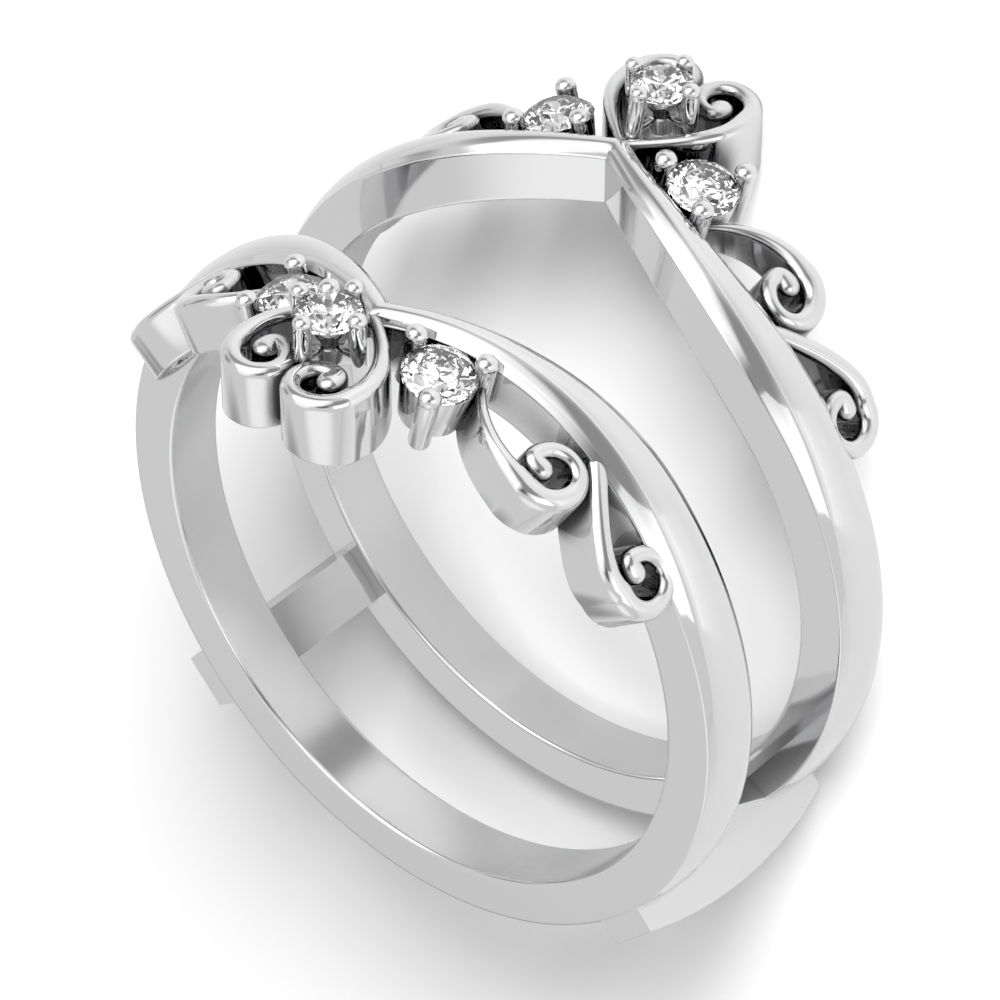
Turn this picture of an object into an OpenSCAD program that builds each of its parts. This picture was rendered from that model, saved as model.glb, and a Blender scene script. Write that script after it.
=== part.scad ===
// Finger ring of two domed bands that stand apart and are joined near the back of the
// finger by two bridge bars. Towards the top each band swings outward to a peak, and its
// outer edge carries scrolls, a heart of two curled ribbons, and three claw-set stones.
// The ring is first drawn upright: X to the side, Y along the finger, Z to the stones.
// It is then laid on its flank as it rests by itself, with its origin under its middle.

/* [Finger hole] */
// Inside diameter of the ring
finger_d = 17.3; // [16.7:0.1:17.9]
// Bevel between the finger hole and each side face
finger_bevel = 0.1; // [0.06:0.02:0.14]

/* [Bands] */
// Width of each band on the shank
band_w = 1.83; // [1.75:0.01:1.9]
// Thickness of each band at its creases on the shank
band_t = 1.33; // [1.25:0.01:1.4]
// Extra thickness at the top of the ring
top_growth = 0.14; // [0.05:0.01:0.2]
// Rise of the domed face above the creases on the shank
dome_h = 0.2; // [0.12:0.01:0.25]
// Extra rise of the domed face at the top of the ring
top_dome = 0.1; // [0:0.01:0.15]
// Clear gap between the two bands on the shank
band_gap = 3.66; // [3.5:0.02:3.8]
// Width of each band at its peak
peak_w = 0.95; // [0.9:0.01:1.1]
// How far the gap side of each band swings outward at its peak
peak_reach = 2.32; // [2.25:0.01:2.4]
// Angle from the top at which the swing begins
swing_angle = 48; // [46:1:50]
// Angle from the top at which the band has its full width
slim_angle = 50; // [46:1:52]
// Rounding of the creases
crease_round = 0.06; // [0.04:0.01:0.08]

/* [Bridge bars] */
// Angle from the top to the middle of each bar
bar_angle = 133; // [128:1:140]
// Width of each bar at its outer face
bar_outer_w = 1.56; // [1.4:0.02:1.7]
// Width of each bar at the creases of the bands
bar_root_w = 1.74; // [1.6:0.02:1.8]
// How far each bar stands out beyond the creases at its ends
bar_proud = 0.68; // [0.6:0.01:0.75]
// How far the outer face of each bar swells between its ends
bar_swell = 0.59; // [0.45:0.01:0.62]
// How far the inner face of each bar is set back from the finger
bar_recess = 0.5; // [0.4:0.05:0.7]

/* [Ribbons] */
// Wall thickness of the ribbons, as a share of the usual one
ribbon_share = 1; // [0.92:0.01:1.04]
// Radius of the round tip in each curl
tip_r = 0.31; // [0.28:0.01:0.33]
// Rounding of the rims
rim_round = 0.27; // [0.2:0.01:0.3]
// How far the outer wall of a scroll leans out at its foot
scroll_flare = 0.08; // [0:0.01:0.12]
// Height of the scroll rims above the finger hole
scroll_rim = 1.5; // [1.45:0.01:1.6]
// Height of the heart rims above the finger hole
heart_rim = 1.85; // [1.8:0.01:1.95]
// Height of all ribbon feet above the finger hole
foot_h = 0.06; // [0.04:0.01:0.1]

/* [Stones] */
// Diameter of the two centre stones
centre_stone_d = 1.75; // [1.7:0.05:1.8]
// Distance of the centre stones from the middle of the ring, along the finger
centre_stone_y = 6.45; // [6.4:0.01:6.5]
// Height of the centre stones' girdles above the finger hole
centre_stone_h = 2.56; // [2.5:0.01:2.62]
// Diameter of the four side stones
side_stone_d = 2.0; // [1.9:0.05:2]
// Distance of the side stones from the middle of the ring, along the finger
side_stone_y = 5.16; // [5.12:0.01:5.2]
// Height of the side stones' girdles above the finger hole
side_stone_h = 1.44; // [1.4:0.01:1.5]
// Angle from the top to each side stone
side_stone_angle = 14.1; // [13.8:0.1:14.4]
// Radius of the ball tip of a claw
claw_r = 0.25; // [0.23:0.01:0.27]
// Clearance between a stone and its setting
seat_gap = 0.04; // [0.03:0.01:0.05]

/* [Hidden] */

finger_r = finger_d / 2;
crease_r = finger_r + band_t;
foot_r = finger_r + foot_h;
scroll_rim_r = finger_r + scroll_rim;
heart_rim_z = finger_r + heart_rim;
band_out = band_gap / 2 + band_w;
centre_stone_z = finger_r + centre_stone_h;
side_stone_r = finger_r + side_stone_h;
// The metal reaches this far inside the finger hole before the hole is bored
bore_spare = 0.25;

// Plans of the two kinds of side scroll. Each is drawn flat and stands along its own
// direction, at an angle from the top of the ring. A row holds that angle, the start and
// the crest of the sweep (across, along the finger), the start's heading, the two leads
// of the sweep, the radius of the rim at the start, the radii of the quarter turns of the
// curl, the wall's widths at the start, at the crest and after each turn, and the place
// of the round tip.
S_LEAN = 0;
S_START = 1;
S_CREST = 2;
S_HEADING = 3;
S_LEADS = 4;
S_LOW = 5;
S_TURNS = 6;
S_WIDTHS = 7;
S_TIP = 8;
SCROLLS = [
    [
        32.5, [-2.5, 4.15], [0.17, 5.54], 58, [2, 0.25], finger_r + 1.2,
        [0.94, 0.63, 0.7, 0.28], [0.22, 0.74, 0.59, 0.42, 0.4, 0.36], [0.07, 4.84]
    ],
    [
        55.5, [-3.5, 3.04], [-0.07, 4.9], 43.7, [3.7, 0.25], finger_r + 1.5,
        [0.76, 0.71, 0.67, 0.28], [0.5, 0.67, 0.53, 0.42, 0.4, 0.36], [-0.42, 4.25]
    ]
];

// Plan of one heart lobe: it starts beyond the peak, on the other side, and sweeps out
heart_start = [-0.3, 4.6];
heart_lead = [0.6, 5.36];
heart_swell = [2.12, 6.22];
heart_crest = [1.83, 7.65];
heart_turns = [0.9, 0.66, 0.61];
heart_widths = [0.26, 0.59, 0.58, 0.52, 0.32];
heart_tip = [0.935, 7.42];

// Places of the three claws of a side stone, as angles about the stone from the side
// that faces away from the peak, and of the four claws of a centre stone
side_claws = [63, 195, 306];
side_claw_ring = side_stone_d / 2 + 0.13;
side_claw_h = 0.29;
centre_claws = [0, 90, 180, 270];
centre_claw_ring = centre_stone_d / 2 + 0.075;
centre_claw_h = 0.21;

// The ring rests on the two lower heart lobes and the lower edge of the shank
heart_out = heart_crest[1] + heart_turns[0] + ribbon_share * heart_widths[2] / 2;
heart_foot_z = sqrt(pow(foot_r, 2) - pow(heart_crest[0] - heart_turns[0], 2));
shank_foot_z = -(crease_r - crease_round);
rest_tilt = atan((heart_out - band_out) / (heart_foot_z - shank_foot_z));
rest_lift = heart_out * cos(rest_tilt) - heart_foot_z * sin(rest_tilt);
reach_top = (centre_stone_y + centre_claw_ring) * sin(rest_tilt)
    + (centre_stone_z + centre_claw_h) * cos(rest_tilt) + 0.94 * claw_r;
reach_bottom = (band_out - band_w / 5) * sin(rest_tilt) + (crease_r + 0.64 * dome_h) * cos(rest_tilt);

// Lays the upright ring on its flank, with the stones towards -Y
module lay() {
    translate([0, (reach_top - reach_bottom) / 2, rest_lift])
        rotate([0, 0, 180])
            rotate([rest_tilt - 90, 0, 0])
                children();
}

// Copies a quarter of the ring to the other side of both mirror planes
module four_ways() {
    for (x_side = [0, 1], y_side = [0, 1])
        mirror([x_side, 0, 0])
            mirror([0, y_side, 0])
                children();
}

// A closed skin through rings of points with the same count, capped at both ends
module loft(rings) {
    count = len(rings);
    sides = len(rings[0]);
    polyhedron(
        points = [for (ring = rings) each ring],
        faces = concat(
            [[for (j = [sides - 1 : -1 : 0]) j]],
            skin_faces(count - 1, sides, count * sides),
            [[for (j = [0 : sides - 1]) (count - 1) * sides + j]]
        ),
        convexity = 12
    );
}

// The same, but the last ring joins the first one
module closed_loft(rings) {
    polyhedron(
        points = [for (ring = rings) each ring],
        faces = skin_faces(len(rings), len(rings[0]), len(rings) * len(rings[0])),
        convexity = 12
    );
}

function skin_faces(steps, sides, total) = [
    for (i = [0 : steps - 1], j = [0 : sides - 1])
        let (
            a = i * sides + j,
            b = i * sides + (j + 1) % sides,
            c = ((i + 1) * sides + (j + 1) % sides) % total,
            d = ((i + 1) * sides + j) % total
        )
        each [[a, b, d], [b, c, d]]
];

// Share of the ring's top that a place has: 1 at the top, 0 at the back of the finger
function topness(angle) = pow((1 + cos(angle)) / 2, 2);

function gap_edge(angle) = band_gap / 2
    + (angle < swing_angle ? peak_reach * pow(1 - angle / swing_angle, 2) : 0);

function width_at(angle) = angle < slim_angle
    ? peak_w + (band_w - peak_w) * (1 - cos(180 * angle / slim_angle)) / 2
    : band_w;

// Cross-section of a band as [radius, distance along the finger]
function band_profile(angle) =
    let (
        near = gap_edge(angle),
        far = near + width_at(angle),
        crease = crease_r + top_growth * topness(angle),
        dome = dome_h + top_dome * topness(angle),
        inside = finger_r - bore_spare,
        bevel = finger_bevel + bore_spare
    )
    [
        [inside, near + bevel],
        [finger_r + finger_bevel, near],
        [crease - crease_round, near],
        [crease, near + crease_round],
        each [for (s = [-0.6, 0, 0.6]) [crease + dome * (1 - s * s), (near + far + s * (far - near)) / 2]],
        [crease, far - crease_round],
        [crease - crease_round, far],
        [finger_r + finger_bevel, far],
        [inside, far - bevel]
    ];

// One band as a loft round the finger, with closer stations where it swings
module band() {
    top_step = 6;
    shank_steps = 32;
    shank_step = (360 - 2 * swing_angle) / shank_steps;
    stations = [
        each [for (a = [-swing_angle : top_step : swing_angle - 0.1]) a],
        each [for (i = [0 : shank_steps - 1]) swing_angle + i * shank_step]
    ];
    closed_loft([
        for (a = stations)
            [for (p = band_profile(min(abs(a), 360 - abs(a)))) [p[0] * sin(a), p[1], p[0] * cos(a)]]
    ]);
}

// One bar across both bands, flush with their outer sides, with a bowed outer face
module bridge_bar() {
    inner_r = finger_r + bar_recess;
    inner_w = 1.6;
    edge = 0.06;
    steps = 8;
    bow_r = (pow(band_out, 2) + pow(bar_swell, 2)) / (2 * bar_swell);
    end_r = crease_r + bar_proud;
    taper = (bar_root_w - bar_outer_w) / 2 / bar_proud;
    rotate([0, bar_angle, 0])
        loft([
            for (i = [0 : steps])
                let (
                    y = band_out * (2 * i / steps - 1),
                    outer_r = end_r + bar_swell - bow_r + sqrt(pow(bow_r, 2) - pow(y, 2)),
                    side = bar_outer_w / 2 - taper * (outer_r - edge - end_r)
                )
                [
                    [-inner_w / 2, y, inner_r], [inner_w / 2, y, inner_r],
                    [bar_root_w / 2, y, crease_r], [side, y, outer_r - edge],
                    [side - edge, y, outer_r], [edge - side, y, outer_r],
                    [-side, y, outer_r - edge], [-bar_root_w / 2, y, crease_r]
                ]
        ]);
}

// Points of a cubic curve as [place, share of the way], without its end
function sweep_points(p0, p1, p2, p3, steps) = [
    for (i = [0 : steps - 1])
        let (t = i / steps)
        [pow(1 - t, 3) * p0 + 3 * pow(1 - t, 2) * t * p1 + 3 * (1 - t) * t * t * p2 + t * t * t * p3, t]
];

// Points of a curl made of quarter turns, as [place, 1 + turns made]. Each turn has its own
// radius and starts where the last one ends; way is 1 for a curl to the left of the
// heading and -1 to the right
function curl_points(start, heading, turns, way, k = 0) =
    k == len(turns) ? [[start, k + 1]] :
    let (
        r = turns[k],
        steps = r > 0.8 ? 5 : r > 0.5 ? 4 : 2,
        centre = start + way * r * [-sin(heading), cos(heading)],
        arc = [
            for (i = [0 : steps])
                let (h = heading + way * 90 * i / steps)
                [centre - way * r * [-sin(h), cos(h)], k + 1 + i / steps]
        ]
    )
    concat(
        [for (i = [0 : steps - 1]) arc[i]],
        curl_points(arc[steps][0], heading + way * 90, turns, way, k + 1)
    );

function unit(v) = v / norm(v);

function heading_at(path, i) = unit(path[min(i + 1, len(path) - 1)][0] - path[max(i - 1, 0)][0]);

// Wall thickness at a place of the path, from the widths at the start, the crest and the turns
function width_along(widths, place) =
    ribbon_share * lookup(place, [for (i = [0 : len(widths) - 1]) [i, widths[i]]]);

// Height of a point on a cylinder round the ring's axis, where the plan is off to one side
function height_at(r, across) = sqrt(r * r - across * across);

// Profile of a wall: across from -0.5 to 0.5, and down from the rim; 2 stands for the foot
WALL = [[-0.5, 2], [-0.5, 1], [-0.36, 0.3], [0, 0], [0.36, 0.3], [0.5, 1], [0.5, 2]];

// One section of a wall as [across, along the finger, height]; low and high are the rim's
// radii or heights at the start and along the rest of the ribbon
function wall_section(path, i, widths, low, high, round_rim, flare) =
    let (
        place = path[i][1],
        heading = heading_at(path, i),
        side = [-heading[1], heading[0]],
        wide = width_along(widths, place),
        rim = high + (low - high) * pow(max(0, 1 - place / 0.7), 1.5),
        corner = min(rim_round, wide / 2)
    )
    [
        for (s = WALL)
            let (
                p = path[i][0] + side * s[0] * wide,
                top = round_rim ? height_at(rim, p[0]) : rim
            )
            s[1] == 2 ? [p[0], p[1] + flare, height_at(foot_r, p[0])] : [p[0], p[1], top - s[1] * corner]
    ];

// Stands a section up at the given angle from the top of the ring
function stand(section, lean) = [
    for (q = section)
        [q[0] * cos(lean) + q[2] * sin(lean), q[1], q[2] * cos(lean) - q[0] * sin(lean)]
];

// The round tip in a curl: a post with a domed end, from the foot to the rim
module tip_post(place, foot, rim) {
    dome = 0.2;
    translate([place[0], place[1], foot]) {
        cylinder(h = rim - foot - dome, r = tip_r, $fn = 8);
        translate([0, 0, rim - foot - dome])
            cylinder(h = dome, r1 = tip_r, r2 = tip_r * 0.5, $fn = 8);
    }
}

module side_scroll(row) {
    start = row[S_START];
    crest = row[S_CREST];
    leads = row[S_LEADS];
    heading = row[S_HEADING];
    path = concat(
        sweep_points(
            start, start + leads[0] * [cos(heading), sin(heading)], crest - [leads[1], 0], crest, 6
        ),
        curl_points(crest, 0, row[S_TURNS], -1)
    );
    loft([
        for (i = [0 : len(path) - 1])
            stand(
                wall_section(path, i, row[S_WIDTHS], row[S_LOW], scroll_rim_r, true, scroll_flare),
                row[S_LEAN]
            )
    ]);
    rotate([0, row[S_LEAN], 0])
        tip_post(row[S_TIP], height_at(foot_r, row[S_TIP][0]), height_at(scroll_rim_r, row[S_TIP][0]) - 0.02);
}

module heart_lobe() {
    path = concat(
        sweep_points(heart_start, heart_lead, heart_swell, heart_crest, 8),
        curl_points(heart_crest, 90, heart_turns, 1)
    );
    rim_start = crease_r + top_growth + top_dome;
    loft([
        for (i = [0 : len(path) - 1])
            wall_section(path, i, heart_widths, rim_start, heart_rim_z, false, 0)
    ]);
    tip_post(heart_tip, height_at(foot_r, heart_tip[0]), heart_rim_z - 0.02);
}

// A round rod or cone between two points
module rod(from, to, r_from, r_to, sides = 8) {
    way = to - from;
    translate(from)
        rotate([0, acos(way[2] / norm(way)), atan2(way[1], way[0])])
            cylinder(h = norm(way), r1 = r_from, r2 = r_to, $fn = sides);
}

// A round claw from its toe to the middle of its rounded end; the toe may come to a point
module claw(toe, tip, point_h) {
    way = tip - toe;
    long = norm(way);
    translate(toe)
        rotate([0, acos(way[2] / long), atan2(way[1], way[0])])
            rotate_extrude($fn = 8)
                polygon(concat(
                    point_h > 0
                        ? [[0, 0], [0.3 * claw_r, 0], [0.84 * claw_r, point_h]]
                        : [[0, 0], [claw_r, 0]],
                    [
                        [claw_r, long], [0.85 * claw_r, long + 0.45 * claw_r],
                        [0.45 * claw_r, long + 0.85 * claw_r], [0, long + 0.85 * claw_r]
                    ]
                ));
}

// Room for a stone, so that the metal stays clear of it
module stone_room(d) {
    r = d / 2 + seat_gap;
    rotate_extrude($fn = 16)
        polygon([
            [0, -pavilion_h(d) - girdle_h(d) / 2 - 2 * seat_gap],
            [r, -girdle_h(d) / 2 - seat_gap], [r, girdle_h(d) / 2 + seat_gap],
            [table_r(d) + seat_gap, crown_h(d) + girdle_h(d) / 2 + 2 * seat_gap],
            [0, crown_h(d) + girdle_h(d) / 2 + 2 * seat_gap]
        ]);
}

// Moves to a side stone, with Z along the stone's axis and Y along the finger
module at_side_stone() {
    rotate([0, side_stone_angle, 0])
        translate([0, side_stone_y, side_stone_r])
            children();
}

// Open cup and three round claws that reach down to the finger hole
module side_setting() {
    drop = side_stone_h - foot_h;
    cup_top = -girdle_h(side_stone_d);
    at_side_stone() {
        difference() {
            translate([0, 0, -drop])
                cylinder(h = drop + cup_top, r1 = 0.82, r2 = 0.98, $fn = 14);
            translate([0, 0, -drop - 1])
                cylinder(h = drop + 2, r = 0.5, $fn = 10);
        }
        for (a = side_claws) {
            place = [side_claw_ring * cos(a), side_claw_ring * sin(a), side_claw_h];
            claw(place - [0, 0, drop + side_claw_h], place, 0);
        }
    }
}

// Four claws with pointed toes, joined below the stone by arms to a small open cup
module centre_setting() {
    cup_z = finger_r + 1.15;
    cup_h = 0.6;
    arm_z = finger_r + 1.6;
    toe_z = finger_r + 1.4;
    point_h = 0.4;
    middle = [0, centre_stone_y, 0];
    for (a = centre_claws) {
        out = [cos(a), sin(a), 0];
        // The claw beside the peak leans towards it, and the one in the cleft stands deeper
        lean = a == 270 ? 0.32 : 0;
        deeper = a == 90 ? 0.5 : lean;
        toe = middle + (centre_claw_ring + lean) * out + [0, 0, toe_z - deeper];
        tip = middle + centre_claw_ring * out + [0, 0, centre_stone_z + centre_claw_h];
        claw(toe, tip, point_h);
        rod(
            middle + centre_claw_ring * out + [0, 0, arm_z + 0.1],
            middle + out * 0.36 + [0, 0, cup_z + cup_h - 0.12], 0.13, 0.1, 5
        );
    }
    // A short web ties the leaning claw to the peak
    rod([0, heart_start[1], toe_z - 0.35], [0, heart_start[1] + 0.65, toe_z - 0.2], 0.14, 0.14, 5);
    translate(middle + [0, 0, cup_z])
        difference() {
            cylinder(h = cup_h, r1 = 0.3, r2 = 0.46, $fn = 10);
            translate([0, 0, -1])
                cylinder(h = cup_h + 2, r = 0.22, $fn = 8);
        }
}

// All the cast and soldered metal, joined as one skin and then bored for the finger
module ring_frame() {
    color("silver")
        lay()
            difference() {
                resize([0, 0, 0])
                    difference() {
                        union() {
                            for (y_side = [0, 1])
                                mirror([0, y_side, 0]) {
                                    band();
                                    centre_setting();
                                }
                            for (x_side = [0, 1])
                                mirror([x_side, 0, 0])
                                    bridge_bar();
                            four_ways() {
                                side_setting();
                                heart_lobe();
                                for (row = SCROLLS)
                                    side_scroll(row);
                            }
                        }
                        four_ways()
                            at_side_stone()
                                stone_room(side_stone_d);
                        for (y_side = [0, 1])
                            mirror([0, y_side, 0])
                                translate([0, centre_stone_y, centre_stone_z])
                                    stone_room(centre_stone_d);
                    }
                rotate([90, 0, 0])
                    cylinder(h = 4 * band_out, r = finger_r, center = true, $fn = 120);
            }
}

// Proportions of a round brilliant cut
function table_r(d) = 0.285 * d;
function crown_h(d) = 0.15 * d;
function girdle_h(d) = 0.03 * d;
function pavilion_h(d) = 0.43 * d;

function ring_points(r, z, count, turn) = [
    for (i = [0 : count - 1]) [r * cos(turn + 360 * i / count), r * sin(turn + 360 * i / count), z]
];

// A round stone: table, 8 stars, 8 kites, 16 upper halves, girdle, 16 lower halves, 8 mains
module brilliant(d) {
    r = d / 2;
    g = girdle_h(d) / 2;
    kite_r = 0.76 * r;
    kite_z = g + crown_h(d) * (r - kite_r * cos(22.5)) / (r - table_r(d));
    main_r = 0.3 * r;
    main_z = -g - pavilion_h(d) * (1 - main_r * cos(22.5) / r);
    points = concat(
        ring_points(table_r(d), g + crown_h(d), 8, 0),
        ring_points(kite_r, kite_z, 8, 22.5),
        ring_points(r, g, 16, 0),
        ring_points(r, -g, 16, 0),
        ring_points(main_r, main_z, 8, 22.5),
        [[0, 0, -g - pavilion_h(d)]]
    );
    kite = 8;
    upper = 16;
    lower = 32;
    main = 48;
    culet = 56;
    facets = [
        for (k = [0 : 7])
            let (
                n = (k + 1) % 8,
                before = (k + 7) % 8,
                a = 2 * k,
                b = 2 * k + 1,
                c = (2 * k + 2) % 16
            )
            each [
                [k, n, kite + k],
                [k, kite + k, upper + a, kite + before],
                [kite + k, upper + b, upper + a],
                [kite + k, upper + c, upper + b],
                [upper + a, upper + b, lower + b, lower + a],
                [upper + b, upper + c, lower + c, lower + b],
                [main + k, lower + a, lower + b],
                [main + k, lower + b, lower + c],
                [culet, main + before, lower + a, main + k]
            ]
    ];
    polyhedron(points = points, faces = concat([[for (k = [7 : -1 : 0]) k]], facets), convexity = 4);
}

module side_stone(x_side, y_side) {
    color("white", 0.6)
        lay()
            mirror([x_side, 0, 0])
                mirror([0, y_side, 0])
                    at_side_stone()
                        brilliant(side_stone_d);
}

module centre_stone(y_side) {
    color("white", 0.6)
        lay()
            mirror([0, y_side, 0])
                translate([0, centre_stone_y, centre_stone_z])
                    brilliant(centre_stone_d);
}

ring_frame();
centre_stone(1);  // upper_centre_stone
centre_stone(0);  // lower_centre_stone
side_stone(0, 1);  // upper_left_stone
side_stone(1, 1);  // upper_right_stone
side_stone(0, 0);  // lower_left_stone
side_stone(1, 0);  // lower_right_stone
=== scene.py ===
"""A finger ring of two domed bands with scrolls, hearts and claw-set stones, lying on its flank."""

import bpy
import math
from mathutils import Matrix, Vector


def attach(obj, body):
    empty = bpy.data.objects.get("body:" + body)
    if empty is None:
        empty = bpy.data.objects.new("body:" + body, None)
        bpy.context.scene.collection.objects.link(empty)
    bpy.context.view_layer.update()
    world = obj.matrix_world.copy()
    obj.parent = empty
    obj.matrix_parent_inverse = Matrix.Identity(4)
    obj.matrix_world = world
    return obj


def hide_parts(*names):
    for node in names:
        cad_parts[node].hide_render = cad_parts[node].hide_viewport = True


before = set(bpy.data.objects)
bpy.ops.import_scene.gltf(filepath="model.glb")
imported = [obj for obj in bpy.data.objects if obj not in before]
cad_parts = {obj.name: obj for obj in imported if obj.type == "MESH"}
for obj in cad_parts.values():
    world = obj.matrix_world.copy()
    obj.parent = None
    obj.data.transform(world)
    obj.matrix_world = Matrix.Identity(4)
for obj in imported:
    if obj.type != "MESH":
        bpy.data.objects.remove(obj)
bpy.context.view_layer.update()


# Bands: two domed hoops of white metal, bored to one cylinder for the finger, with a crease
# on each side of the dome. Towards the stones each one narrows and swings outward to a peak.
# They are cast as one with all that they carry, rhodium plated and mirror polished.
MM = 0.001
FINGER_R = 8.65
BAND_GAP = 3.66
BAND_W = 1.828
PEAK_W = 0.95
PEAK_REACH = 2.32
SWING = 48
SLIM = 50
CREASE_R = 9.98
TOP_GROWTH = 0.14
DOME_H = 0.2
TOP_DOME = 0.1
CROWN_STEPS = 14
CREASE_ROUND = 0.06
FINGER_BEVEL = 0.1
# Narrow strips beside the rounded edges, which keep the flats flat
BORE_STRIP = 0.02
FOOT_STRIP = 0.03
CREASE_STRIP = 0.04
# Sections lie 1 degree apart round the stones and 2 degrees apart round the shank
FINE_ARC = 60
# Edges sharper than this many degrees stay crisp
BAND_CRISP = 35


def band_section(degrees):
    """Section of a band as (radius, along the finger), counted round from the finger hole"""
    turn = abs(degrees)
    topness = ((1 + math.cos(math.radians(turn))) / 2) ** 2
    near = BAND_GAP / 2 + (PEAK_REACH * (1 - turn / SWING) ** 2 if turn < SWING else 0)
    wide = BAND_W
    if turn < SLIM:
        wide = PEAK_W + (BAND_W - PEAK_W) * (1 - math.cos(math.pi * turn / SLIM)) / 2
    far = near + wide
    crease = CREASE_R + TOP_GROWTH * topness
    dome = DOME_H + TOP_DOME * topness
    half = [(FINGER_R, near + FINGER_BEVEL + BORE_STRIP), (FINGER_R, near + FINGER_BEVEL)]
    for bend in (30, 60, 90):
        a = math.radians(bend)
        half.append((FINGER_R + FINGER_BEVEL * (1 - math.cos(a)),
                     near + FINGER_BEVEL * (1 - math.sin(a))))
    half += [(FINGER_R + FINGER_BEVEL + FOOT_STRIP, near),
             (crease - CREASE_ROUND - CREASE_STRIP, near)]
    for bend in (0, 26, 52, 78):
        a = math.radians(bend)
        half.append((crease - CREASE_ROUND + CREASE_ROUND * math.sin(a),
                     near + CREASE_ROUND * (1 - math.cos(a))))
    crown = []
    for k in range(1, CROWN_STEPS):
        s = -1 + 2 * (CREASE_ROUND / wide) + (2 - 4 * CREASE_ROUND / wide) * k / CROWN_STEPS
        crown.append((crease + dome * (1 - s * s), (near + far) / 2 + s * wide / 2))
    back = [(r, near + far - y) for r, y in reversed(half)]
    return half + crown + back


def skin(rings, closed):
    """Four-sided faces through rings of points; open skins get end caps"""
    sides = len(rings[0])
    count = len(rings)
    faces = []
    for i in range(count if closed else count - 1):
        for j in range(sides):
            here = i * sides
            there = (i + 1) % count * sides
            k = (j + 1) % sides
            faces.append((here + j, there + j, there + k, here + k))
    if not closed:
        faces.append(tuple(range(sides)))
        faces.append(tuple((count - 1) * sides + j for j in reversed(range(sides))))
    return faces


def mirrored(points, faces, x_side, y_side):
    """The same skin on another side of the ring; one mirroring turns the faces round"""
    placed = [(x_side * x, y_side * y, z) for x, y, z in points]
    if x_side * y_side < 0:
        faces = [tuple(reversed(f)) for f in faces]
    return placed, faces


# The ring is drawn upright, in millimetres, with X to the side, Y along the finger and Z to
# the stones, and is then laid down, so that it rests on two heart lobes and the shank's edge
REST_TILT = math.radians(15.578007)
REST_Y = 1.300736
REST_LIFT = 6.189569
lay = Matrix.Scale(MM, 4) @ Matrix((
    (-1, 0, 0, 0),
    (0, -math.sin(REST_TILT), -math.cos(REST_TILT), REST_Y),
    (0, -math.cos(REST_TILT), math.sin(REST_TILT), REST_LIFT),
    (0, 0, 0, 1),
))


def metal_piece(name, points, faces, crisp_from, finish):
    """One piece of the casting from points in the upright ring"""
    mesh = bpy.data.meshes.new(name)
    mesh.from_pydata([lay @ Vector(p) for p in points], [], faces)
    mesh.validate()
    mesh.shade_smooth()
    mesh.set_sharp_from_angle(angle=math.radians(crisp_from))
    mesh.materials.append(finish)
    piece = bpy.data.objects.new(name, mesh)
    bpy.context.scene.collection.objects.link(piece)
    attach(piece, "root")
    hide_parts("ring_frame")
    return piece


# What is left of the polishing: a very slight waviness, faint fine lines and changes of gloss
polish = bpy.data.node_groups.new("polish_traces", "ShaderNodeTree")
for socket in ("Line Scale", "Wave Scale"):
    polish.interface.new_socket(socket, in_out="INPUT", socket_type="NodeSocketFloat")
for socket in ("Gloss Change", "Height"):
    polish.interface.new_socket(socket, in_out="OUTPUT", socket_type="NodeSocketFloat")
inlet = polish.nodes.new("NodeGroupInput")
outlet = polish.nodes.new("NodeGroupOutput")
place = polish.nodes.new("ShaderNodeTexCoord")
waves = polish.nodes.new("ShaderNodeTexNoise")
waves.inputs["Detail"].default_value = 1.5
lines = polish.nodes.new("ShaderNodeTexNoise")
lines.inputs["Detail"].default_value = 3.0
stretch = polish.nodes.new("ShaderNodeMapping")
stretch.inputs["Scale"].default_value = (1.0, 14.0, 1.0)
LINE_SHARE = 0.06
both = polish.nodes.new("ShaderNodeMath")
both.operation = "MULTIPLY_ADD"
both.inputs[1].default_value = LINE_SHARE
polish.links.new(place.outputs["Object"], waves.inputs["Vector"])
polish.links.new(place.outputs["Object"], stretch.inputs["Vector"])
polish.links.new(stretch.outputs["Vector"], lines.inputs["Vector"])
polish.links.new(inlet.outputs["Wave Scale"], waves.inputs["Scale"])
polish.links.new(inlet.outputs["Line Scale"], lines.inputs["Scale"])
polish.links.new(lines.outputs["Fac"], both.inputs[0])
polish.links.new(waves.outputs["Fac"], both.inputs[2])
polish.links.new(lines.outputs["Fac"], outlet.inputs["Gloss Change"])
polish.links.new(both.outputs["Value"], outlet.inputs["Height"])

# Painted shade: the metal's colour darkens where an occlusion test finds it enclosed, in the narrow
# wells
recess = bpy.data.node_groups.new("painted_recess_shade", "ShaderNodeTree")
for socket in ("Reach", "Open From", "Closed From"):
    recess.interface.new_socket(socket, in_out="INPUT", socket_type="NodeSocketFloat")
recess.interface.new_socket("Recess", in_out="OUTPUT", socket_type="NodeSocketFloat")
inlet = recess.nodes.new("NodeGroupInput")
outlet = recess.nodes.new("NodeGroupOutput")
openness = recess.nodes.new("ShaderNodeAmbientOcclusion")
openness.samples = 12
closed = recess.nodes.new("ShaderNodeMapRange")
closed.interpolation_type = "SMOOTHSTEP"
recess.links.new(inlet.outputs["Reach"], openness.inputs["Distance"])
recess.links.new(openness.outputs["AO"], closed.inputs["Value"])
recess.links.new(inlet.outputs["Open From"], closed.inputs["From Min"])
recess.links.new(inlet.outputs["Closed From"], closed.inputs["From Max"])
recess.links.new(closed.outputs["Result"], outlet.inputs["Recess"])

WELL_REACH = 1.9 * MM
# Colour of the painted shade where it is darkest
PAINTED_SHADE_COLOUR = (0.09, 0.09, 0.093, 1)
# The painted shade is full only for camera rays; seen in another polished face it is a quarter as strong
MIRRORED_SHARE = 0.25
# The Mix node's colour sockets, which share their names with its other sockets
COLOUR_A, COLOUR_B, COLOUR_OUT = 6, 7, 2


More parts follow.
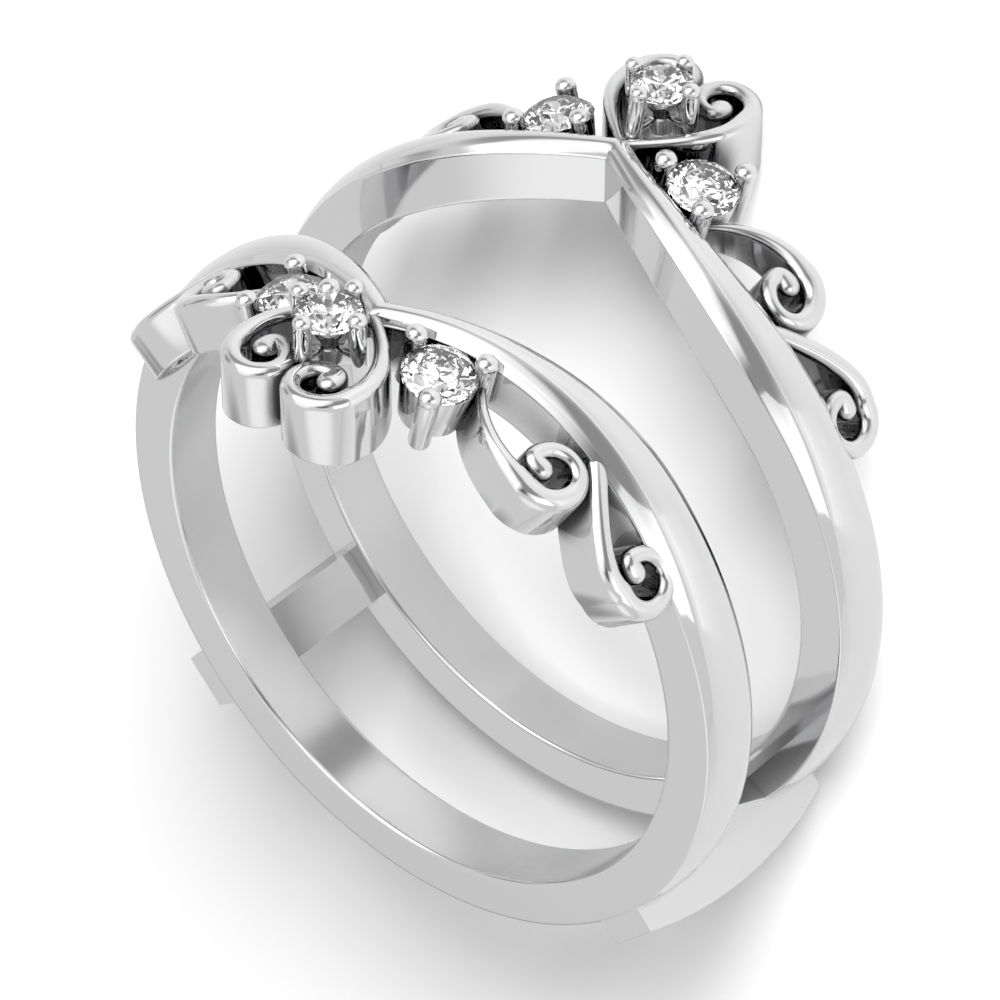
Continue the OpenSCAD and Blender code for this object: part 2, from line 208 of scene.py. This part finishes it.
def polished_metal(name, colour, gloss, wave_height, recess_range):
    """White metal with the polish traces and painted shade in its recesses; gloss is (roughness where
    brightest, where dullest) and recess_range the openness from which the painted shade begins and at
    which it is darkest"""
    finish = bpy.data.materials.new(name)
    finish.use_nodes = True
    nodes = finish.node_tree.nodes
    links = finish.node_tree.links
    shader = nodes["Principled BSDF"]
    shader.inputs["Metallic"].default_value = 1.0
    depth = nodes.new("ShaderNodeGroup")
    depth.node_tree = recess
    depth.inputs["Reach"].default_value = WELL_REACH
    depth.inputs["Open From"].default_value = recess_range[0]
    depth.inputs["Closed From"].default_value = recess_range[1]
    # Painted shade: the base colour is mixed towards the dark shade colour by the occlusion mask, fully
    # for camera rays
    tone = nodes.new("ShaderNodeMix")
    tone.data_type = "RGBA"
    tone.inputs[COLOUR_A].default_value = (*colour, 1)
    tone.inputs[COLOUR_B].default_value = PAINTED_SHADE_COLOUR
    seen_by = nodes.new("ShaderNodeLightPath")
    direct = nodes.new("ShaderNodeMapRange")
    direct.inputs["To Min"].default_value = MIRRORED_SHARE
    share = nodes.new("ShaderNodeMath")
    share.operation = "MULTIPLY"
    links.new(seen_by.outputs["Is Camera Ray"], direct.inputs["Value"])
    links.new(direct.outputs["Result"], share.inputs[0])
    links.new(depth.outputs["Recess"], share.inputs[1])
    links.new(share.outputs["Value"], tone.inputs["Factor"])
    links.new(tone.outputs[COLOUR_OUT], shader.inputs["Base Color"])
    traces = nodes.new("ShaderNodeGroup")
    traces.node_tree = polish
    traces.inputs["Line Scale"].default_value = 2500.0
    traces.inputs["Wave Scale"].default_value = 260.0
    spread = nodes.new("ShaderNodeMapRange")
    spread.inputs["To Min"].default_value = gloss[0]
    spread.inputs["To Max"].default_value = gloss[1]
    bump = nodes.new("ShaderNodeBump")
    bump.inputs["Strength"].default_value = 0.25
    bump.inputs["Distance"].default_value = wave_height
    links.new(traces.outputs["Gloss Change"], spread.inputs["Value"])
    links.new(spread.outputs["Result"], shader.inputs["Roughness"])
    links.new(traces.outputs["Height"], bump.inputs["Height"])
    links.new(bump.outputs["Normal"], shader.inputs["Normal"])
    return finish


band_finish = polished_metal("band_white_metal", (0.72, 0.72, 0.725),
                             (0.04, 0.09), 0.00001, (0.66, 0.1))
bore_finish = polished_metal("bore_white_metal", (0.78, 0.78, 0.785),
                             (0.16, 0.23), 0.000008, (0.5, 0.1))

stations = [float(k) for k in range(-FINE_ARC, FINE_ARC)]
stations += [FINE_ARC + 2.0 * k for k in range(180 - FINE_ARC)]
rings = []
for degrees in stations:
    a = math.radians(degrees)
    turn = degrees if degrees <= 180 else 360 - degrees
    rings.append([(r * math.sin(a), y, r * math.cos(a)) for r, y in band_section(turn)])
band_sides = len(rings[0])
points = [p for ring in rings for p in ring]
faces = skin(rings, True)
for name, y_side in (("lower_band", -1), ("upper_band", 1)):
    placed, turned_faces = mirrored(points, faces, 1, y_side)
    band = metal_piece(name, placed, turned_faces, BAND_CRISP, band_finish)
    # The three rows of faces in the bore have the softer finish
    band.data.materials.append(bore_finish)
    for face in band.data.polygons:
        if face.index % band_sides in (0, band_sides - 2, band_sides - 1):
            face.material_index = 1


# Bridge bars: two bars of the same metal, soldered across both bands near the back of the
# finger. They are wedge shaped, bowed along their outer faces and cut flush with the outer
# sides of the bands.
BAR_ANGLE = 133
BAR_INNER_R = FINGER_R + 0.5
BAR_END_R = CREASE_R + 0.68
BAR_BOW = 0.59
BAR_EDGE = 0.06
BAR_HALF = 0.78
BAR_TAPER = 0.132
BAR_FOOT_HALF = 0.8
BAR_CREASE_HALF = 0.87
BAR_STRIP = 0.05
BAR_STRIP_SPREAD = 0.01
BAR_STEPS = 32
BAR_CRISP = 30
bar_end = BAND_GAP / 2 + BAND_W - 0.002
bow_r = (bar_end ** 2 + BAR_BOW ** 2) / (2 * BAR_BOW)


def bar_section(y):
    """Section of a bar as (across, radius); its outer face is highest in the middle"""
    outer = BAR_END_R + BAR_BOW - bow_r + math.sqrt(bow_r ** 2 - y * y)
    wide = BAR_HALF - BAR_TAPER * (outer - BAR_END_R)
    half = [(BAR_FOOT_HALF, BAR_INNER_R), (BAR_CREASE_HALF, CREASE_R),
            (wide + BAR_STRIP_SPREAD, outer - BAR_EDGE - BAR_STRIP)]
    for bend in (0, 22.5, 45, 67.5, 90):
        a = math.radians(bend)
        half.append((wide - BAR_EDGE * (1 - math.cos(a)), outer - BAR_EDGE * (1 - math.sin(a))))
    half.append((wide - BAR_EDGE - BAR_STRIP, outer))
    return half + [(-x, r) for x, r in reversed(half)]


for name, side in (("left_bridge_bar", -1), ("right_bridge_bar", 1)):
    a = math.radians(BAR_ANGLE * side)
    rings = []
    for k in range(BAR_STEPS + 1):
        y = bar_end * (2 * k / BAR_STEPS - 1)
        rings.append([(x * math.cos(a) + r * math.sin(a), y, r * math.cos(a) - x * math.sin(a))
                      for x, r in bar_section(y)])
    metal_piece(name, [p for ring in rings for p in ring], skin(rings, False), BAR_CRISP, band_finish)


# Side scrolls: two tapering ribbons of the same metal on each shoulder, cast with the band.
# Each stands on edge from the finger to its rounded rim, sweeps out from the band and curls
# back to a blunt round tip.
FOOT_CLEAR = 0.06
RIBBON_FOOT_R = FINGER_R + FOOT_CLEAR
SCROLL_RIM_R = FINGER_R + 1.5
RIM_ROUND = 0.27
ARCH_STEPS = 12
RIM_STRIP = 0.03
SCROLL_FLARE = 0.08
FOOT_EASE = 0.08
SCROLL_STEPS = 30
QUARTER_STEPS = 10
TIP_STEPS = 10
TIP_LEAD = 0.6
# A rim that starts low on the band has risen by this share of the way along its sweep
RISE_END = 0.7
RISE_CURVE = 1.5
RIBBON_CRISP = 45

ribbon_finish = polished_metal("ribbon_white_metal", (0.72, 0.72, 0.725),
                               (0.03, 0.08), 0.000008, (0.84, 0.5))

# Across from -0.5 to 0.5, and down from the rim as a share of its rounding
rim_arch = [(-0.5 * math.cos(math.pi * k / ARCH_STEPS), 1 - math.sin(math.pi * k / ARCH_STEPS))
            for k in range(ARCH_STEPS + 1)]


def sweep(p0, p1, p2, p3, steps):
    """Points of a cubic sweep as (place, share of the way), without its end"""
    path = []
    for i in range(steps):
        t = i / steps
        place = [(1 - t) ** 3 * a + 3 * (1 - t) ** 2 * t * b + 3 * (1 - t) * t * t * c + t ** 3 * d
                 for a, b, c, d in zip(p0, p1, p2, p3)]
        path.append((Vector(place), t))
    return path


def curl(start, heading, radii, way):
    """A curl of quarter turns as (place, 1 + turns made); way is 1 to the left and -1 to the right"""
    path = []
    here = Vector(start)
    for k, r in enumerate(radii):
        left = Vector((-math.sin(heading), math.cos(heading)))
        centre = here + way * r * left
        for i in range(QUARTER_STEPS):
            h = heading + way * math.pi / 2 * i / QUARTER_STEPS
            path.append((centre - way * r * Vector((-math.sin(h), math.cos(h))),
                         k + 1 + i / QUARTER_STEPS))
        heading += way * math.pi / 2
        here = centre - way * r * Vector((-math.sin(heading), math.cos(heading)))
    path.append((here, len(radii) + 1))
    return path


def ring_across(place, ahead, wide, rim, corner, flare):
    """One section of a ribbon on edge: a foot with eased edges, two upright sides and a rounded rim"""
    side = Vector((-ahead.y, ahead.x))
    arch = [place + side * across * wide for across, down in rim_arch]
    ring = [(p.x, p.y, rim(p.x) - down * corner) for p, (across, down) in zip(arch, rim_arch)]
    ease = min(FOOT_EASE, wide / 4)
    for way in (-1, 1):
        foot = []
        for bend in (90, 60, 30, 0):
            a = math.radians(bend)
            p = place + side * way * (wide / 2 - ease + ease * math.cos(a))
            hole = math.sqrt(RIBBON_FOOT_R ** 2 - p.x ** 2)
            foot.append((p.x, p.y + flare, hole + ease * (1 - math.sin(a))))
        x, y, z = ring[0] if way < 0 else ring[-1]
        foot.append((x, y + flare * RIM_STRIP, z - RIM_STRIP))
        ring = foot + ring if way < 0 else ring + foot[::-1]
    return ring


def ribbon(path, widths, tip, tip_r, rim_at, flare):
    """Rings of a ribbon along its path, on to the centre of its blunt tip and round the tip's end"""
    here, last = path[-1]
    ahead = (here - path[-2][0]).normalized()
    tip = Vector(tip)
    bend = here + ahead * (tip - here).length * TIP_LEAD
    for i in range(1, TIP_STEPS + 1):
        t = i / TIP_STEPS
        path.append(((1 - t) ** 2 * here + 2 * (1 - t) * t * bend + t * t * tip, last + t))
    rings = []
    for i, (place, share) in enumerate(path):
        ahead = (path[min(i + 1, len(path) - 1)][0] - path[max(i - 1, 0)][0]).normalized()
        low = min(int(share), len(widths) - 1)
        if low < len(widths) - 1:
            wide = widths[low] + (widths[low + 1] - widths[low]) * (share - low)
        else:
            t = share - last
            wide = widths[-1] + (2 * tip_r - widths[-1]) * (3 - 2 * t) * t * t
        rings.append(ring_across(place, ahead, wide, lambda x: rim_at(x, share),
                                 min(RIM_ROUND, wide / 2), flare))
    full = min(RIM_ROUND, tip_r)
    for degrees in range(10, 81, 10):
        a = math.radians(degrees)
        drop = full * (1 - math.cos(a))
        rings.append(ring_across(tip + ahead * tip_r * math.sin(a), ahead, 2 * tip_r * math.cos(a),
                                 lambda x: rim_at(x, last + 1) - drop, full * math.cos(a), flare))
    return rings


def leaned(points, degrees):
    """Points turned about the finger, from the top of the ring towards +X"""
    a = math.radians(degrees)
    return [(x * math.cos(a) + z * math.sin(a), y, z * math.cos(a) - x * math.sin(a))
            for x, y, z in points]


def left_to_rise(share):
    """How much of its rise a rim still has before it"""
    return max(0, 1 - share / RISE_END) ** RISE_CURVE


def rim_on_hoop(low, high):
    """Rim that follows a hoop round the finger and is lower where the ribbon starts"""
    def rim_at(x, share):
        r = high + (low - high) * left_to_rise(share)
        return math.sqrt(r * r - x * x)
    return rim_at


SCROLLS = (
    dict(name="upper_scroll", lean=32.5, start=(-2.5, 4.15), crest=(0.23, 5.6), heading=58,
         leads=(2, 0.25), low=FINGER_R + 1.2, turns=(0.94, 0.63, 0.7),
         widths=(0.22, 0.74, 0.6, 0.46, 0.5), tip=(0.22, 4.9), tip_r=0.32),
    dict(name="lower_scroll", lean=55.5, start=(-3.5, 3.04), crest=(-0.07, 4.9), heading=43.7,
         leads=(3.7, 0.25), low=FINGER_R + 1.5, turns=(0.76, 0.71, 0.67),
         widths=(0.5, 0.67, 0.55, 0.46, 0.5), tip=(-0.33, 4.26), tip_r=0.32),
)
QUARTERS = (("upper_right", -1, 1), ("upper_left", 1, 1), ("lower_right", -1, -1), ("lower_left", 1, -1))


def on_each_quarter(name, points, faces, crisp_from, finish):
    """The same piece on each side of both peaks"""
    for quarter, x_side, y_side in QUARTERS:
        placed, turned_faces = mirrored(points, faces, x_side, y_side)
        metal_piece(f"{quarter}_{name}", placed, turned_faces, crisp_from, finish)


for row in SCROLLS:
    h = math.radians(row["heading"])
    start, crest = row["start"], row["crest"]
    first_lead, last_lead = row["leads"]
    path = sweep(start, (start[0] + first_lead * math.cos(h), start[1] + first_lead * math.sin(h)),
                 (crest[0] - last_lead, crest[1]), crest, SCROLL_STEPS)
    path += curl(crest, 0, row["turns"], -1)
    rings = ribbon(path, row["widths"], row["tip"], row["tip_r"],
                   rim_on_hoop(row["low"], SCROLL_RIM_R), SCROLL_FLARE)
    points = leaned([p for ring in rings for p in ring], row["lean"])
    on_each_quarter(row["name"], points, skin(rings, False), RIBBON_CRISP, ribbon_finish)


# Hearts: two ribbons of the same metal that cross at each peak and curl in to the cleft,
# higher than the scrolls and flat along the rim. They are cast with the band.
HEART_RIM_Z = FINGER_R + 1.85
HEART_START = (-0.3, 4.6)
HEART_LEADS = ((0.6, 5.36), (2.12, 6.22))
HEART_CREST = (1.83, 7.65)
HEART_STEPS = 36
HEART_TIP = (1.06, 7.6)
HEART_TIP_R = 0.36
HEART_TURNS = (0.9, 0.66, 0.61)
HEART_WIDTHS = (0.26, 0.59, 0.56, 0.55, 0.52)
rim_start = CREASE_R + TOP_GROWTH + TOP_DOME


def heart_rim(x, share):
    """Rim that lies flat and is lower where the ribbon starts"""
    return HEART_RIM_Z + (rim_start - HEART_RIM_Z) * left_to_rise(share)


path = sweep(HEART_START, *HEART_LEADS, HEART_CREST, HEART_STEPS)
path += curl(HEART_CREST, math.pi / 2, HEART_TURNS, 1)
rings = ribbon(path, HEART_WIDTHS, HEART_TIP, HEART_TIP_R, heart_rim, 0)
points = [p for ring in rings for p in ring]
on_each_quarter("heart_lobe", points, skin(rings, False), RIBBON_CRISP, ribbon_finish)


# Settings of the side stones: an open conical cup of the same metal, soldered beside the band
# and down to the finger, with three round claws, whose ends are worked over the stone's edge
# to little domes.
SIDE_STONE_D = 2.0
SIDE_STONE_Y = 5.16
SIDE_STONE_RISE = 1.44
SIDE_STONE_ANGLE = 14.1
SIDE_CLAW_DEGREES = (63, 195, 306)
SIDE_CLAW_OUT = 0.15
SIDE_CLAW_H = 0.29
SIDE_POST_R = 0.285
SIDE_BALL_R = 0.3
SIDE_TOE = ((SIDE_POST_R * 0.6, 0), (SIDE_POST_R * 0.87, 0.04), (SIDE_POST_R, 0.13))
CUP_SIDES = 64
CLAW_SIDES = 28
BALL_STEPS = 13
BALL_FLATTENED = 0.84
NECK_STRIP = 0.06
SETTING_CRISP = 40
side_ring = SIDE_STONE_D / 2 + SIDE_CLAW_OUT
side_drop = SIDE_STONE_RISE - FOOT_CLEAR

claw_finish = polished_metal("claw_white_metal", (0.74, 0.74, 0.745),
                             (0.03, 0.07), 0.000006, (0.7, 0.15))


def turned(outline, sides):
    """A turned solid about Z from an outline of (radius, height) that starts and ends on the axis"""
    points = []
    rings = []
    for r, z in outline:
        if r == 0:
            rings.append([len(points)])
            points.append((0, 0, z))
        else:
            rings.append([len(points) + k for k in range(sides)])
            points += [(r * math.cos(2 * math.pi * k / sides),
                        r * math.sin(2 * math.pi * k / sides), z) for k in range(sides)]
    faces = []
    for low, high in zip(rings, rings[1:]):
        for k in range(sides):
            m = (k + 1) % sides
            face = (low[k % len(low)], low[m % len(low)],
                    high[m % len(high)], high[k % len(high)])
            faces.append(tuple(dict.fromkeys(face)))
    return points, faces


def aimed(points, start, end):
    """Points drawn up from the middle, set to rise from start towards end"""
    turn = (Vector(end) - Vector(start)).to_track_quat("Z", "Y").to_matrix()
    return [tuple(Vector(start) + turn @ Vector(p)) for p in points]


def claw(toe, tip, toe_outline, post_r, ball_r):
    """A round claw from its toe to its ball end; toe_outline lists (radius, height) of the toe"""
    long = (Vector(tip) - Vector(toe)).length
    neck = math.acos(post_r / ball_r)
    outline = [(0, 0), *toe_outline, (post_r, long - ball_r * math.sin(neck) - NECK_STRIP)]
    for k in range(BALL_STEPS):
        a = -neck + (math.pi / 2 + neck) * k / BALL_STEPS
        outline.append((ball_r * math.cos(a), long + BALL_FLATTENED * ball_r * math.sin(a)))
    outline.append((0, long + BALL_FLATTENED * ball_r))
    points, faces = turned(outline, CLAW_SIDES)
    return aimed(points, toe, tip), faces


def open_cup(section, sides):
    """A turned cup with a hole through it, from a closed section of (radius, height)"""
    rings = []
    for k in range(sides):
        a = 2 * math.pi * k / sides
        rings.append([(r * math.cos(a), r * math.sin(a), z) for r, z in section])
    return [p for ring in rings for p in ring], skin(rings, True)


def joined(*solids):
    """Several solids as one list of points and one of faces"""
    points = []
    faces = []
    for more_points, more_faces in solids:
        faces += [tuple(k + len(points) for k in f) for f in more_faces]
        points += more_points
    return points, faces


cup_section = [(0.52, -side_drop), (0.82, -side_drop), (0.965, -0.12),
               (0.95, -0.08), (0.9, -0.075), (0.52, -0.5)]
side_parts = [open_cup(cup_section, CUP_SIDES)]
for degrees in SIDE_CLAW_DEGREES:
    a = math.radians(degrees)
    tip = (side_ring * math.cos(a), side_ring * math.sin(a), SIDE_CLAW_H)
    toe = (tip[0], tip[1], -side_drop)
    side_parts.append(claw(toe, tip, SIDE_TOE, SIDE_POST_R, SIDE_BALL_R))
points, faces = joined(*side_parts)
points = [(x, y + SIDE_STONE_Y, z + (FINGER_R + SIDE_STONE_RISE)) for x, y, z in points]
points = leaned(points, SIDE_STONE_ANGLE)
on_each_quarter("side_setting", points, faces, SETTING_CRISP, claw_finish)


# Settings of the centre stones: four claws of the same metal with pointed toes that stand in
# the heart, soldered to it at the peak and tied below the stone by thin arms to a small open
# cup.
CENTRE_STONE_D = 1.75
CENTRE_STONE_Y = 6.45
CENTRE_STONE_Z = FINGER_R + 2.56
CENTRE_CLAW_OUT = 0.075
CENTRE_CLAW_H = 0.21
CLAW_R = 0.25
# Radius as a share of the claw's, and height above the toe
CENTRE_TOE = ((0.3, 0.0), (0.46, 0.06), (0.64, 0.17), (0.78, 0.3), (0.86, 0.44))
CENTRE_POST = 0.93
# Each claw's direction, how far its toe leans out, and how much deeper it reaches
CENTRE_CLAWS = ((0, 0, 0), (90, 0, 0.5), (180, 0, 0), (270, 0.32, 0.32))
ARM_H = FINGER_R + 1.7
ARM_REACH = 0.36
ARM_R = 0.13
ARM_END_R = 0.1
ARM_SIDES = 16
BRACE_R = 0.14
SMALL_CUP_H = 0.6
SMALL_CUP_DISH = 0.12
SMALL_CUP_SIDES = 40
centre_ring = CENTRE_STONE_D / 2 + CENTRE_CLAW_OUT
toe_z = FINGER_R + 1.4
cup_z = FINGER_R + 1.15


def arm(start, end, r_start, r_end):
    """A thin round arm between two points"""
    long = (Vector(end) - Vector(start)).length
    points, faces = turned([(0, 0), (r_start, 0), (r_end, long), (0, long)], ARM_SIDES)
    return aimed(points, start, end), faces


middle = Vector((0, CENTRE_STONE_Y, 0))
centre_parts = []
for degrees, lean, deeper in CENTRE_CLAWS:
    a = math.radians(degrees)
    out = Vector((math.cos(a), math.sin(a), 0))
    toe = middle + (centre_ring + lean) * out + Vector((0, 0, toe_z - deeper))
    tip = middle + centre_ring * out + Vector((0, 0, CENTRE_STONE_Z + CENTRE_CLAW_H))
    point = [(CLAW_R * r, h) for r, h in CENTRE_TOE]
    centre_parts.append(claw(toe, tip, point, CLAW_R * CENTRE_POST, CLAW_R))
    high = middle + centre_ring * out + Vector((0, 0, ARM_H))
    low = middle + ARM_REACH * out + Vector((0, 0, cup_z + SMALL_CUP_H - SMALL_CUP_DISH))
    centre_parts.append(arm(high, low, ARM_R, ARM_END_R))
# A short brace ties the nearest claw to the peak
brace_start = (0, HEART_START[1], toe_z - 0.35)
brace_end = (0, HEART_START[1] + 0.65, toe_z - 0.2)
centre_parts.append(arm(brace_start, brace_end, BRACE_R, BRACE_R))
small_cup = [(0.22, 0), (0.3, 0), (0.46, SMALL_CUP_H - 0.04), (0.42, SMALL_CUP_H),
             (0.22, SMALL_CUP_H - SMALL_CUP_DISH)]
points, faces = open_cup(small_cup, SMALL_CUP_SIDES)
centre_parts.append(([(x, y + CENTRE_STONE_Y, z + cup_z) for x, y, z in points], faces))
points, faces = joined(*centre_parts)
for name, y_side in (("lower_centre_setting", -1), ("upper_centre_setting", 1)):
    placed, turned_faces = mirrored(points, faces, 1, y_side)
    metal_piece(name, placed, turned_faces, SETTING_CRISP, claw_finish)


# Stones: six round brilliants of a colourless clear crystal, cut with flat polished facets
# and held by the claws. They keep the shapes that the source gives them.
stone_finish = bpy.data.materials.new("clear_brilliant")
stone_finish.use_nodes = True
stone_nodes = stone_finish.node_tree.nodes
stone = stone_nodes["Principled BSDF"]
stone.inputs["Base Color"].default_value = (1, 1, 1, 1)
stone.inputs["Transmission Weight"].default_value = 1.0
stone.inputs["IOR"].default_value = 2.42
facet_gloss = stone_nodes.new("ShaderNodeTexNoise")
facet_gloss.inputs["Scale"].default_value = 900.0
facet_range = stone_nodes.new("ShaderNodeMapRange")
facet_range.inputs["To Min"].default_value = 0.0
facet_range.inputs["To Max"].default_value = 0.003
stone_finish.node_tree.links.new(facet_gloss.outputs["Fac"], facet_range.inputs["Value"])
stone_finish.node_tree.links.new(facet_range.outputs["Result"], stone.inputs["Roughness"])
for node_name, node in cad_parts.items():
    if node_name.endswith("_stone"):
        node.data.shade_flat()
        node.data.materials.clear()
        node.data.materials.append(stone_finish)


# Floor: a plain pale glossy table under the ring, much wider than the view. In reflections the table
# is painted greyer than the camera sees it, which paints darker reflections into the metal.
FLOOR_HALF = 0.6
# Painted reflection: the darker tone that the table has only in reflections
FLOOR_MIRRORED = (0.72, 0.72, 0.72, 1)
FLOOR_SEEN = (0.96, 0.96, 0.96, 1)
floor_mesh = bpy.data.meshes.new("pale_floor")
floor_mesh.from_pydata([(-FLOOR_HALF, -FLOOR_HALF, 0), (FLOOR_HALF, -FLOOR_HALF, 0),
                        (FLOOR_HALF, FLOOR_HALF, 0), (-FLOOR_HALF, FLOOR_HALF, 0)], [], [(0, 1, 2, 3)])
floor = bpy.data.objects.new("pale_floor", floor_mesh)
bpy.context.scene.collection.objects.link(floor)
floor_finish = bpy.data.materials.new("pale_table")
floor_finish.use_nodes = True
table_nodes = floor_finish.node_tree.nodes
table = table_nodes["Principled BSDF"]
table_tone = table_nodes.new("ShaderNodeMix")
table_tone.data_type = "RGBA"
table_tone.inputs[COLOUR_A].default_value = FLOOR_MIRRORED
table_tone.inputs[COLOUR_B].default_value = FLOOR_SEEN
seen_by = table_nodes.new("ShaderNodeLightPath")
floor_finish.node_tree.links.new(seen_by.outputs["Is Camera Ray"], table_tone.inputs["Factor"])
floor_finish.node_tree.links.new(table_tone.outputs[COLOUR_OUT], table.inputs["Base Color"])
table.inputs["Roughness"].default_value = 0.14
floor_mesh.materials.append(floor_finish)


# Light: an even pale studio with white softboxes and a few grey screens, whose reflections
# shape the polished metal, two soft lamps for highlights, and one over the table whose soft
# shadows fall away from the stones.
STUDIO_TONE = 0.8
# Each screen: angle round the ring from its front towards the right, height above its
# middle, half width of the even part and of the soft edge, and what it adds to the tone
SCREENS = (
    ("overhead_softbox", -10, 58, 28, 40, 0.75),
    ("front_softbox", -12, 14, 10, 26, 0.4),
    ("left_softbox", -120, 5, 14, 40, 0.1),
    ("right_dark_screen", 34, 33, 7, 19, -0.62),
    ("high_right_screen", 74, 54, 14, 30, -0.45),
    ("high_left_screen", -104, 58, 14, 30, -0.4),
    ("left_screen", -72, 18, 4, 16, -0.4),
    ("low_screen", -65, -58, 6, 22, -0.4),
    ("low_right_softbox", 25, -37, 12, 32, 0.35),
)
TABLE_SKY = 0.2
studio = bpy.data.worlds.new("white_studio")
bpy.context.scene.world = studio
studio.use_nodes = True
sky = studio.node_tree.nodes
sky_links = studio.node_tree.links
direction = sky.new("ShaderNodeTexCoord").outputs["Generated"]
brightness = None
for name, around, height, even, edge, tone in SCREENS:
    a, h = math.radians(around), math.radians(height)
    facing = Vector((math.sin(a) * math.cos(h), -math.cos(a) * math.cos(h), math.sin(h)))
    facing = (lay.to_3x3() @ facing).normalized()
    toward = sky.new("ShaderNodeVectorMath")
    toward.operation = "DOT_PRODUCT"
    toward.label = name
    toward.inputs[1].default_value = facing
    fade = sky.new("ShaderNodeMapRange")
    fade.interpolation_type = "SMOOTHSTEP"
    fade.inputs["From Min"].default_value = math.cos(math.radians(edge))
    fade.inputs["From Max"].default_value = math.cos(math.radians(even))
    fade.inputs["To Max"].default_value = tone
    total = sky.new("ShaderNodeMath")
    total.operation = "ADD"
    total.inputs[1].default_value = STUDIO_TONE
    sky_links.new(direction, toward.inputs[0])
    sky_links.new(toward.outputs["Value"], fade.inputs["Value"])
    sky_links.new(fade.outputs["Result"], total.inputs[0])
    if brightness is not None:
        sky_links.new(brightness, total.inputs[1])
    brightness = total.outputs["Value"]

# Many small lamps and gaps between them, which only show as sparkle through the stones
small_lamps = sky.new("ShaderNodeTexNoise")
small_lamps.inputs["Scale"].default_value = 5.0
small_lamps.inputs["Detail"].default_value = 1.0
lamp_edges = sky.new("ShaderNodeMapRange")
lamp_edges.interpolation_type = "SMOOTHSTEP"
lamp_edges.inputs["From Min"].default_value = 0.45
lamp_edges.inputs["From Max"].default_value = 0.56
lamp_edges.inputs["To Min"].default_value = 0.05
lamp_edges.inputs["To Max"].default_value = 1.9
# The Mix node's number sockets
NUMBER_A, NUMBER_B, NUMBER_OUT = 2, 3, 0
lit_by = sky.new("ShaderNodeLightPath")
seen = sky.new("ShaderNodeMix")
sky_links.new(direction, small_lamps.inputs["Vector"])
sky_links.new(small_lamps.outputs["Fac"], lamp_edges.inputs["Value"])
sky_links.new(lit_by.outputs["Is Transmission Ray"], seen.inputs["Factor"])
sky_links.new(brightness, seen.inputs[NUMBER_A])
sky_links.new(lamp_edges.outputs["Result"], seen.inputs[NUMBER_B])
# The table is lit mostly by its own lamp, so that the ring's shadow shows
table_light = sky.new("ShaderNodeMix")
table_light.inputs[NUMBER_B].default_value = TABLE_SKY
sky_links.new(lit_by.outputs["Is Diffuse Ray"], table_light.inputs["Factor"])
sky_links.new(seen.outputs[NUMBER_OUT], table_light.inputs[NUMBER_A])
sky["Background"].inputs["Color"].default_value = (1, 1, 1, 1)
sky_links.new(table_light.outputs[NUMBER_OUT], sky["Background"].inputs["Strength"])


def soft_lamp(name, place, size, power):
    """A square soft lamp that faces the middle of the ring, in the upright ring's millimetres"""
    data = bpy.data.lights.new(name, "AREA")
    data.size = size * MM
    data.energy = power
    lamp = bpy.data.objects.new(name, data)
    bpy.context.scene.collection.objects.link(lamp)
    lamp.location = lay @ Vector(place)
    aim = (lay @ Vector((0, 0, 0))) - lamp.location
    lamp.rotation_mode = "QUATERNION"
    lamp.rotation_quaternion = aim.to_track_quat("-Z", "Y")
    return lamp


soft_lamp("key_lamp", (-60, -120, 140), 100, 0.06)
soft_lamp("fill_lamp", (150, -40, 60), 100, 0.02)
table_lamp = soft_lamp("table_lamp", (146, -146, 355), 220, 3.1)
table_lamp.visible_glossy = False
table_lamp.visible_transmission = False


# Camera: a long lens, from the right of the ring's front and well above it. Its place and
# the directions of the image's right and lower edges are those of the upright ring.
CAMERA_PLACE = Vector((62.45, -72.90, 80.53))
IMAGE_RIGHT = Vector((0.7593, 0.6508, 0.0001))
IMAGE_DOWN = Vector((0.4144, -0.4835, -0.7710))
camera_data = bpy.data.cameras.new("photo_camera")
camera_data.sensor_width = 36
camera_data.lens = 168.81
camera_data.clip_start = 0.005
camera_data.clip_end = 5
camera = bpy.data.objects.new("photo_camera", camera_data)
bpy.context.scene.collection.objects.link(camera)
turn = lay.to_3x3().normalized()
right = (turn @ IMAGE_RIGHT).normalized()
up = turn @ -IMAGE_DOWN
up = (up - right * up.dot(right)).normalized()
back = right.cross(up)
aimed_at_ring = Matrix((right, up, back)).transposed().to_4x4()
camera.matrix_world = Matrix.Translation(lay @ CAMERA_PLACE) @ aimed_at_ring
bpy.context.scene.camera = camera
bpy.context.scene.view_settings.view_transform = "Standard"
